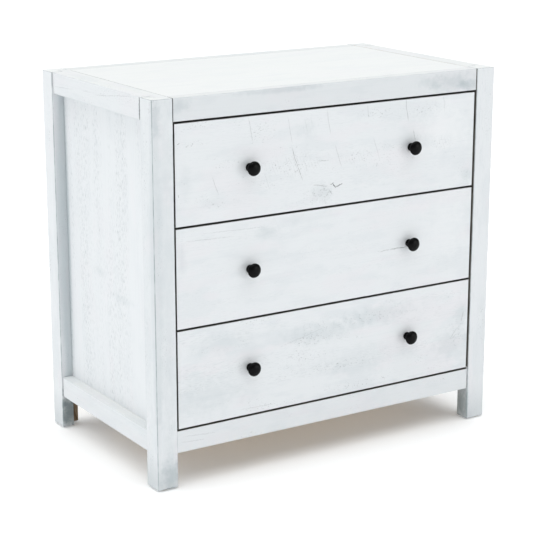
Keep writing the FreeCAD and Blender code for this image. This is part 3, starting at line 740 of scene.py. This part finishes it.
def top_front():
    """The top drawer's front: saw cuts, hatching between them, a small knot, and painted light
    towards its right end.
    """
    board = "top_drawer_front"
    middle = spot(board, "-Y", 0, 0).z
    cuts = [
        (-304, -28, 18, 0.5), (-194, 71, 26, 0.5), (-190, -33, 16, 0.3), (-106, 64, 28, 0.4),
        (-109, -5, 36, 1.0), (-13, 70, 25, 0.5), (-8, 0, 24, 0.45), (84, 82, 15, 0.4),
        (87, 2, 26, 0.45), (180, 77, 24, 0.75), (187, 21, 14, 1.0), (275, 78, 20, 0.45),
    ]
    cuts = [(x * MM, middle + z * MM, half * MM, strength) for x, z, half, strength in cuts]
    hatch = on_face(
        patch, board, "-Y", (-90, -5, 80, 28, 0.3), (258, 82, 34, 12, 0.3), (277, 3, 24, 18, 0.3),
        (-56, 66, 26, 20, 0.25), (55, -9, 44, 15, 0.2))
    patches = on_face(
        patch, board, "-Y", (-335, -19, 18, 44, 0.1, COOL_DARK), (-282, -60, 36, 12, 0.1, COOL_DARK),
        (-60, 60, 28, 22, 0.14, COOL_DARK), (340, -75, 20, 26, 0.2, COOL_DARK),
        (-26, -70, 34, 24, 0.2, COOL_DARK), (-225, -31, 60, 16, 0.4, PAINT_WARM),
        (150, -20, 90, 40, 0.4, PAINT_WARM), (-150, 20, 60, 24, 0.3, PAINT_WARM),
        # Painted light towards the right end of the front.
        (280, 36, 90, 60, 0.6, PAINTED_LIGHT))
    dotted = on_face(
        patch, board, "-Y", (-326, 57, 34, 9, 0.5), (-262, -39, 16, 6, 0.5), (-262, -64, 60, 9, 0.4),
        (110, 78, 60, 14, 0.55), (-166, 66, 40, 28, 0.45), (-28, -71, 44, 26, 0.7),
        (330, -70, 30, 26, 0.3), (270, 5, 44, 24, 0.5), (-100, -8, 100, 28, 0.5),
        (225, 74, 70, 16, 0.55), (60, -6, 60, 20, 0.4))
    strokes = on_face(
        stroke, board, "-Y", ((2, -55), (8, -63), 0.9, 1.2), ((8, -63), (24, -57), 0.7, 0.9),
        ((-4, -56), (4, -53), 0.5, 0.9), ((-8, -66), (0, -76), 0.25, 0.8),
        ((-6, -68), (-14, -78), 0.25, 0.8), ((-26, -64), (-12, -67), 0.25, 0.8),
        ((-44, -52), (-14, -58), 0.35, 0.7), ((-34, -5), (-9, -6), 0.35, 0.6),
        ((-352, 60), (-346, 62), 0.5, 0.7), ((-351, -36), (-350, -42), 0.4, 0.7))
    saw = {"blade": middle + BLADE_ABOVE, "cuts": cuts, "hatch": hatch}
    return whitewash("whitewash_top_front", specks=0.35, saw=saw, patches=patches,
                     dotted=dotted, strokes=strokes)


def middle_front():
    """The middle drawer's front: a smudge, a crack that runs to the right knob, and painted light
    towards its right end.
    """
    board = "middle_drawer_front"
    patches = on_face(
        patch, board, "-Y", (-153, 68, 34, 16, 0.2, COOL_DARK), (-346, 37, 16, 44, 0.14, COOL_DARK),
        (-80, 84, 120, 14, 0.1, COOL_DARK), (-162, 41, 46, 14, 0.5, PAINT_WARM),
        (-283, -42, 24, 13, 0.5, PAINT_WARM), (215, 72, 66, 20, 0.5, PAINT_WARM),
        # Painted light towards the right end of the front.
        (290, 20, 80, 70, 0.4, PAINTED_LIGHT))
    dotted = on_face(
        patch, board, "-Y", (60, 10, 90, 20, 0.25), (-60, 15, 40, 20, 0.25), (200, 76, 60, 14, 0.3))
    strokes = on_face(
        stroke, board, "-Y", ((116, -9), (148, -8), 0.4, 0.6), ((146, -8), (186, -8), 0.55, 0.8),
        ((-335, 73), (-230, 70), 0.16, 0.7), ((-300, 84), (-160, 80), 0.14, 0.7))
    return whitewash("whitewash_middle_front", specks=0.15, patches=patches, dotted=dotted,
                     strokes=strokes)


def bottom_front():
    """The bottom drawer's front: a darker band along the grain, fields of specks, and a smear
    that runs down from the right edge."""
    board = "bottom_drawer_front"
    patches = on_face(
        patch, board, "-Y", (-263, 60, 90, 26, 0.14, COOL_DARK), (-20, 44, 130, 28, 0.2, COOL_DARK),
        (120, 60, 130, 26, 0.2, COOL_DARK), (-290, -40, 100, 60, 0.16, COOL_DARK),
        (60, -30, 150, 40, 0.12, COOL_DARK), (338, 24, 20, 44, 0.2, COOL_DARK),
        (310, -36, 60, 44, 0.2, COOL_DARK),
        (92, 29, 65, 10, 0.5, PAINT_WARM), (280, 45, 50, 26, 0.4, PAINT_WARM))
    dotted = on_face(
        patch, board, "-Y", (-50, 34, 70, 16, 0.8), (16, -35, 130, 14, 0.6), (-150, -88, 80, 8, 0.9),
        (90, 56, 110, 16, 0.6), (330, -10, 26, 44, 0.6), (70, -82, 110, 12, 0.6),
        (-60, 0, 60, 24, 0.5))
    strokes = on_face(
        stroke, board, "-Y", ((346, 30), (340, 8), 0.3, 0.8), ((330, -4), (312, -26), 0.22, 0.8),
        ((-215, -86), (-140, -88), 0.2, 0.6), ((-120, 30), (-20, 52), 0.16, 0.7))
    return whitewash("whitewash_bottom_front", cloudy=0.45, dashes=0.16, specks=0.3,
                     patches=patches, dotted=dotted, strokes=strokes)


def top_material():
    """The top panel: smoother than the rest, with a fine dark line in the seam at each edge."""
    seams = on_face(
        stroke, "top_panel", "+Z", ((-360.8, -202), (-360.8, 202), 0.42, 1.4),
        ((360.8, -202), (360.8, 202), 0.42, 1.4), ((-358, 204.8), (358, 204.8), 0.35, 1.4))
    return whitewash("whitewash_top", cloudy=0.15, dashes=0.05, specks=0.15, strokes=seams)


def rail_material():
    """The rails: marks stand at the ends of the front ones and in the grain of the side ones, with a
    painted shadow line at the front end of the left top side rail.
    """
    patches = on_face(
        patch, "front_top_rail", "-Y", (-345, 8, 30, 18, 0.3, COOL_DARK),
        (-124, 18, 130, 9, 0.25, COOL_DARK), (300, -2, 70, 24, 0.3, COOL_DARK),
        (338, -10, 34, 16, 0.45, COOL_DARK), (240, 2, 40, 16, 0.2, COOL_DARK))
    patches += on_face(patch, "front_bottom_rail", "-Y", (-76, 6, 44, 10, 0.5, PAINT_WARM))
    dotted = on_face(patch, "front_top_rail", "-Y", (336, -9, 26, 12, 0.7))
    strokes = on_face(
        stroke, "front_bottom_rail", "-Y", ((-346, 9), (-274, 4), 0.22, 0.6),
        ((-350, -2), (-300, -5), 0.2, 0.6))
    # Lines of grain on the left top side rail, and a painted shadow line at its front end beside the
    # post.
    strokes += on_face(
        stroke, "left_top_side_rail", "-X", ((180, -6), (100, -2), 0.2, 0.6),
        ((58, 2), (18, 3), 0.2, 0.6), ((-4, 1), (-70, 8), 0.2, 0.6),
        ((-66, 8), (-150, 18), 0.2, 0.6), ((-185, -22), (-185, 22), 0.85, 1.7))
    return whitewash("whitewash_rails", dashes=0.07, worn=0.14, patches=patches, dotted=dotted,
                     strokes=strokes)


def post_material():
    """The posts: cooler patches on the front left one, feet darker towards the floor, and painted
    shade where the rear ones meet the side panels, on the rear legs below the side rails and on the
    inner face of the front right leg. The front left one has a painted shadow along the bottom of
    its front face."""
    patches = on_face(
        patch, "front_left_post", "-Y", (-14, 350, 14, 46, 0.25, COOL_DARK),
        (4, 60, 26, 620, 0.15, COOL_DARK), (8, -362, 28, 48, 0.45, COOL_DARK))
    patches += on_face(patch, "front_left_post", "-X", (0, 0, 44, 700, 0.1, COOL_DARK))
    # Painted shade on the inner face of the front right leg, below the case.
    patches += on_face(patch, "front_right_post", "-X", (0, -350, 60, 70, 0.7, STAIN_AND_SHADE))
    # A cool band down the left of the front left post's front face, and a painted shadow along its
    # bottom edge above the glide.
    strokes = on_face(
        stroke, "front_left_post", "-Y", ((-20, -240), (-20, 380), 0.18, 13, COOL_DARK),
        ((-14, -384.6), (22, -384.6), 0.7, 1.4))
    # On each rear post, painted shade: a cool dark band in the corner with the side panel, and a
    # darker leg below the side rail.
    for side, outward in SIDES.items():
        post, corner = f"rear_{side}_post", outward * -2.5
        strokes += on_face(
            stroke, post, "-Y", ((corner, -285), (corner, 360), 0.42, 19, COOL_DARK))
        patches += on_face(
            patch, post, "-Y", (corner, -350, 60, 64, 0.95, STAIN_AND_SHADE),
            (corner, -350, 60, 64, 0.25, DARK_STAIN_AND_SHADE))
    return whitewash("whitewash_posts", dashes=0.12, worn=0.7, foot=0.25, patches=patches,
                     strokes=strokes)


def panel_material(side):
    """A wire-brushed side panel, with painted shade along its rear edge where it meets the rear
    post. The left one has two blotches.
    """
    node, face = f"{side}_side_panel", "-X" if side == "left" else "+X"
    blotches = ((41, -42, 34, 12, 0.15, COOL_DARK), (-59, -78, 66, 11, 0.15, COOL_DARK))
    patches = on_face(patch, node, face, *blotches) if side == "left" else []
    # Painted shade along the rear edge, in the corner with the rear post.
    edge = stroke(node, face, (193, -290), (193, 310), 0.6, 14, COOL_DARK)
    return whitewash(f"whitewash_{side}_panel", cloudy=0.2, dashes=0.5, specks=0.1,
                     patches=patches, strokes=[edge])


BARE = raw_wood("bare_wood")
# Darker bare wood, in the rebates of the posts.
DARK_BARE = raw_wood("dark_bare_wood", light="8C7A64", dark="67543F")
# Painted shade: dark grey wood on the edges and ends that line the gaps and seams, so that they read
# dark.
GAP_SHADE = raw_wood("gap_shade_edges", light="76736D", dark="625E58")
RAW = {axis: raw_wood(f"raw_wood_{axis}", axis) for axis in AXES}
PLY_BACK = plywood("plywood_back", "Z", "Y", 4 * MM)
PLY_BOTTOM = plywood("plywood_bottom", "X", "Z", 5 * MM)
BLACK = black_metal()
ZINC = zinc_steel()
NYLON = nylon()
TOP = top_material()
RAILS = rail_material()
POSTS = post_material()
PANELS = {side: panel_material(side) for side in SIDES}
FRONTS = {"top": top_front(), "middle": middle_front(), "bottom": bottom_front()}


# The case

POST_ROUND = 1.8 * MM
POST_END_EASE = 0.9 * MM
RAIL_ROUND = 1.3 * MM
RAIL_END_EASE = 0.8 * MM
REAR_RAIL_ROUND = 1.2 * MM
INNER_EASE = 0.6 * MM
PANEL_ROUND = 0.8 * MM
TOP_ROUND = 1.6 * MM
BOARD_SPACING = 9 * MM
PANEL_SPACING = 12 * MM
POST_TONE = 0.015
SIDE_RAIL_TONE = 0.055
CROSS_RAIL_TONES = {"top": 0.11, "bottom": 0.06}

# How far a rail stops short of its posts: left and right, or front and rear
FRONT_RAIL_SEAMS = {"top": (2.1 * MM, 0.4 * MM), "bottom": (0.1 * MM, 0.7 * MM)}
REAR_RAIL_SEAMS = (0.4 * MM, 0.4 * MM)
SIDE_RAIL_SEAMS = {"top": (2.4 * MM, 0.8 * MM), "bottom": (0.1 * MM, 1.0 * MM)}


def make_post(end, side, seed):
    """A post with the rebate that holds the side panel. The rebate was never painted, and above the
    bottom rail the face towards the drawers is dark grey, painted shade in the gaps beside the
    drawers."""
    node = f"{end}_{side}_post"
    low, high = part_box(node)
    panel_low, panel_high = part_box(f"{side}_side_panel")
    outward = SIDES[side]
    outer_x, inner_x = (low.x, high.x) if outward < 0 else (high.x, low.x)
    rebate_x = panel_low.x if outward < 0 else panel_high.x
    if end == "front":
        outer_y, inner_y, rebate_y = low.y, high.y, panel_low.y
    else:
        outer_y, inner_y, rebate_y = high.y, low.y, panel_high.y
    corners = [((outer_x, outer_y), POST_ROUND), ((inner_x, outer_y), POST_ROUND)]
    corners += [((inner_x, rebate_y), 0), ((rebate_x, rebate_y), 0), ((rebate_x, inner_y), 0)]
    corners.append(((outer_x, inner_y), POST_ROUND))
    mesh = new_board_mesh()
    add_board(mesh, "Z", corners, (low.z, high.z), POST_END_EASE, seed, BOARD_SPACING)
    bottom_rail_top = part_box("front_bottom_rail")[1].z
    # Above the bottom rail, the face towards the drawers takes the dark grey of painted shade in the
    # gaps.
    planes = ((1, "X", rebate_x), (1, "Y", rebate_y), (2, "X", inner_x, bottom_rail_top))
    finish_board(node, mesh, "case", (POSTS, DARK_BARE, GAP_SHADE), POST_TONE, planes)


def make_side_rail(level, side, seed):
    """A side rail: the face between the posts, and the inner part that the panel meets."""
    node = f"{side}_{level}_side_rail"
    low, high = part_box(node)
    panel_low, panel_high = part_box(f"{side}_side_panel")
    front_seam, rear_seam = SIDE_RAIL_SEAMS[level]
    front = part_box(f"front_{side}_post")[1].y + front_seam
    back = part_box(f"rear_{side}_post")[0].y - rear_seam
    outer, inner = (low.x, high.x) if SIDES[side] < 0 else (high.x, low.x)
    middle = panel_low.x if SIDES[side] < 0 else panel_high.x
    mesh = new_board_mesh()
    face = [((low.z, outer), RAIL_ROUND), ((high.z, outer), RAIL_ROUND)]
    face += [((high.z, middle), 0), ((low.z, middle), 0)]
    add_board(mesh, "Y", face, (front, back), RAIL_END_EASE, seed, BOARD_SPACING)
    inner_low, inner_high = (low.z, panel_low.z) if level == "bottom" else (panel_high.z, high.z)
    part = [((inner_low, middle), 0), ((inner_high, middle), 0)]
    part += [((inner_high, inner), 0), ((inner_low, inner), 0)]
    add_board(mesh, "Y", part, (panel_low.y, panel_high.y), INNER_EASE, seed, BOARD_SPACING)
    # The ends are dark grey, painted shade in the seams at the posts.
    planes = ((1, "X", inner), (2, "Y", front), (2, "Y", back))
    finish_board(node, mesh, "case", (RAILS, BARE, GAP_SHADE), SIDE_RAIL_TONE, planes)


def make_cross_rail(end, level, seed):
    """A front or rear rail between the posts, with a fine seam at each end. Its ends and the face
    towards the drawers are dark grey, painted shade in the seams and gaps.
    """
    node = f"{end}_{level}_rail"
    low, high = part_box(node)
    left_seam, right_seam = FRONT_RAIL_SEAMS[level] if end == "front" else REAR_RAIL_SEAMS
    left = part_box(f"{end}_left_post")[1].x + left_seam
    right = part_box(f"{end}_right_post")[0].x - right_seam
    mesh = new_board_mesh()
    corners = box_corners(low, high, "X", RAIL_ROUND if end == "front" else REAR_RAIL_ROUND)
    add_board(mesh, "X", corners, (left, right), RAIL_END_EASE, seed, BOARD_SPACING)
    drawer_side = low.z if level == "top" else high.z
    planes = ((1, "X", left), (1, "X", right), (1, "Z", drawer_side))
    finish_board(node, mesh, "case", (RAILS, GAP_SHADE), CROSS_RAIL_TONES[level], planes)


def make_plain_board(node, axis, body, radius, seed, spacing, materials, planes=()):
    """A board that fills its node's box."""
    low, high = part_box(node)
    mesh = new_board_mesh()
    corners = box_corners(low, high, axis, radius)
    span = (low[AXES[axis]], high[AXES[axis]])
    add_board(mesh, axis, corners, span, radius / 2, seed, spacing)
    finish_board(node, mesh, body, materials, planes=planes)


def make_case():
    """The posts, rails and panels. Each board has a seed of its own, so no two look alike."""
    seeds = itertools.count(1)
    for side in SIDES:
        for end in ("front", "rear"):
            make_post(end, side, next(seeds))
        for level in ("top", "bottom"):
            make_side_rail(level, side, next(seeds))
        make_plain_board(f"{side}_side_panel", "Z", "case", PANEL_ROUND, next(seeds),
                         PANEL_SPACING, (PANELS[side],))
    for end in ("front", "rear"):
        for level in ("top", "bottom"):
            make_cross_rail(end, level, next(seeds))
    make_plain_board("top_panel", "X", "case", TOP_ROUND, next(seeds), PANEL_SPACING, (TOP,))


# The drawers

LATHE_SIDES = 64
KNOB_STEP = 1.1 * MM
ON_AXIS = 0.001 * MM
FRONT_ROUND = 1.1 * MM
FRONT_SPACING = 7 * MM
FIRST_FRONT_SEED = 40


def smooth_profile(points, step):
    """Points along a soft curve through the given ones, with a corner where one repeats."""
    curve = []
    runs, run = [], [points[0]]
    for point in points[1:]:
        if point == run[-1]:
            runs.append(run)
            run = [point]
        else:
            run.append(point)
    runs.append(run)
    for run in runs:
        ends = [run[0] * 2 - run[1], *run, run[-1] * 2 - run[-2]] if len(run) > 1 else run
        for before, start, end, after in zip(ends, ends[1:], ends[2:], ends[3:]):
            count = max(2, round((end - start).length / step))
            for index in range(count):
                share = index / count
                curve.append(0.5 * (
                    2 * start + (end - before) * share
                    + (2 * before - 5 * start + 4 * end - after) * share ** 2
                    + (3 * start - before - 3 * end + after) * share ** 3))
        curve.append(run[-1])
    return curve


def add_lathe(mesh, centre, profile, sides):
    """Adds a turned shape about an axis along -Y. The profile is (out from the centre's plane,
    radius) and runs from the axis to the axis."""
    rings = []
    for out, radius in profile:
        if radius < ON_AXIS:
            rings.append([mesh.verts.new(centre + Vector((0, -out, 0)))])
            continue
        ring = []
        for index in range(sides):
            angle = 2 * math.pi * index / sides
            offset = Vector((radius * math.cos(angle), -out, radius * math.sin(angle)))
            ring.append(mesh.verts.new(centre + offset))
        rings.append(ring)
    for low, high in zip(rings, rings[1:]):
        for index in range(sides):
            following = (index + 1) % sides
            corners = [low[index % len(low)], low[following % len(low)]]
            corners += [high[following % len(high)], high[index % len(high)]]
            mesh.faces.new(list(dict.fromkeys(corners)))


def knob_profile(length, radius):
    """A flange, a waisted neck and a domed head, as (out, radius) from base to tip."""
    points = [
        (0, 0), (0, 0.56), (0, 0.56), (0.04, 0.583), (0.1, 0.565), (0.15, 0.43),
        (0.21, 0.335), (0.31, 0.31), (0.42, 0.34), (0.51, 0.5), (0.59, 0.8), (0.66, 0.965),
        (0.725, 1.0), (0.79, 0.975), (0.875, 0.84), (0.94, 0.62), (0.985, 0.34), (1.0, 0),
    ]
    return [Vector((out * length, share * radius)) for out, share in points]


def make_knobs(name):
    """A drawer's two turned knobs, one piece."""
    node = f"{name}_drawer_knobs"
    low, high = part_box(node)
    radius = (high.z - low.z) / 2
    mesh = new_board_mesh()
    profile = smooth_profile(knob_profile(high.y - low.y, radius), KNOB_STEP)
    for x in (low.x + radius, high.x - radius):
        centre = Vector((x, high.y, (low.z + high.z) / 2))
        add_lathe(mesh, centre, profile, LATHE_SIDES)
    piece = finish_piece(f"{node}_turned", mesh, f"{name}_drawer", (BLACK,))
    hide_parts(node)


def make_drawers():
    """The fronts and the knobs. The edges of a front are dark grey, painted shade in the gaps
    between the drawers.
    """
    for seed, name in enumerate(DRAWERS, start=FIRST_FRONT_SEED):
        board = f"{name}_drawer_front"
        low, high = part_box(board)
        planes = [(1, axis, corner[AXES[axis]]) for axis in "XZ" for corner in (low, high)]
        make_plain_board(board, "X", f"{name}_drawer", FRONT_ROUND, seed, FRONT_SPACING,
                         (FRONTS[name], GAP_SHADE), planes)
        make_knobs(name)


# Finishes of the CAD nodes


def node_finish(name):
    """The material of a CAD node that stays, by its name."""
    if "member" in name or "screw" in name:
        return ZINC
    if name == "foot_glides":
        return NYLON
    if name == "back_panel":
        return PLY_BACK
    if name.endswith("drawer_bottom"):
        return PLY_BOTTOM
    if name == "corner_blocks":
        return RAW["Z"]
    if "side" in name or "batten" in name:
        return RAW["Y"]
    return RAW["X"]


def dress_nodes():
    """Gives each CAD node its finish."""
    for name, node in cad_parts.items():
        node.data.materials.clear()
        node.data.materials.append(node_finish(name))


# Stage, light and camera

FLOOR_SIZE = 60.0
FLOOR_CELLS = 24
FLOOR_DROP = 0.2 * MM
CAMERA_PLACE = (-1.8382, -2.8786, 1.259)
CAMERA_PITCH = 15.0425
CAMERA_TURN = -32.4816
CAMERA_LENS = 110.379
CAMERA_SENSOR = 36
CAMERA_REACH = 100
WORLD_COLOUR = (0.97, 1.0, 1.02, 1.0)
WORLD_STRENGTH = 0.32

# Each light's name, turn, height and spread in degrees, and strength
SUNS = (
    ("overhead", 0, 88, 80, 2.45),
    ("key", -36, 6, 26, 0.6),
    ("fill", 106, 26, 60, 0.79),
)


def make_floor():
    """The pale floor, just below the chest's feet."""
    mesh = bmesh.new()
    bmesh.ops.create_grid(
        mesh, x_segments=FLOOR_CELLS, y_segments=FLOOR_CELLS, size=FLOOR_SIZE)
    data = bpy.data.meshes.new("floor")
    mesh.to_mesh(data)
    mesh.free()
    data.materials.append(pale_floor())
    floor = bpy.data.objects.new("floor", data)
    floor.location.z = -FLOOR_DROP
    bpy.context.scene.collection.objects.link(floor)


def add_sun(name, turn, height, spread, strength):
    """A soft distant light. A positive turn brings it from the front towards the left side."""
    light = bpy.data.lights.new(name, "SUN")
    light.angle = math.radians(spread)
    light.energy = strength
    lamp = bpy.data.objects.new(name, light)
    lamp.rotation_euler = (math.radians(90 - height), 0, -math.radians(turn))
    bpy.context.scene.collection.objects.link(lamp)


def make_lights():
    """A plain pale world and the soft lights."""
    world = bpy.data.worlds.new("studio")
    world.use_nodes = True
    background = next(node for node in world.node_tree.nodes if node.type == "BACKGROUND")
    background.inputs["Color"].default_value = WORLD_COLOUR
    background.inputs["Strength"].default_value = WORLD_STRENGTH
    bpy.context.scene.world = world
    for sun in SUNS:
        add_sun(*sun)


def make_camera():
    """The camera at the photograph's angle. Colours are shown without a film look."""
    camera = bpy.data.cameras.new("photo_view")
    camera.lens = CAMERA_LENS
    camera.sensor_width = CAMERA_SENSOR
    camera.clip_end = CAMERA_REACH
    view = bpy.data.objects.new("photo_view", camera)
    view.location = CAMERA_PLACE
    view.rotation_euler = (math.radians(90 - CAMERA_PITCH), 0, math.radians(CAMERA_TURN))
    bpy.context.scene.collection.objects.link(view)
    bpy.context.scene.camera = view
    bpy.context.scene.view_settings.view_transform = "Standard"


make_camera()
make_floor()
make_lights()
dress_nodes()
make_case()
make_drawers()
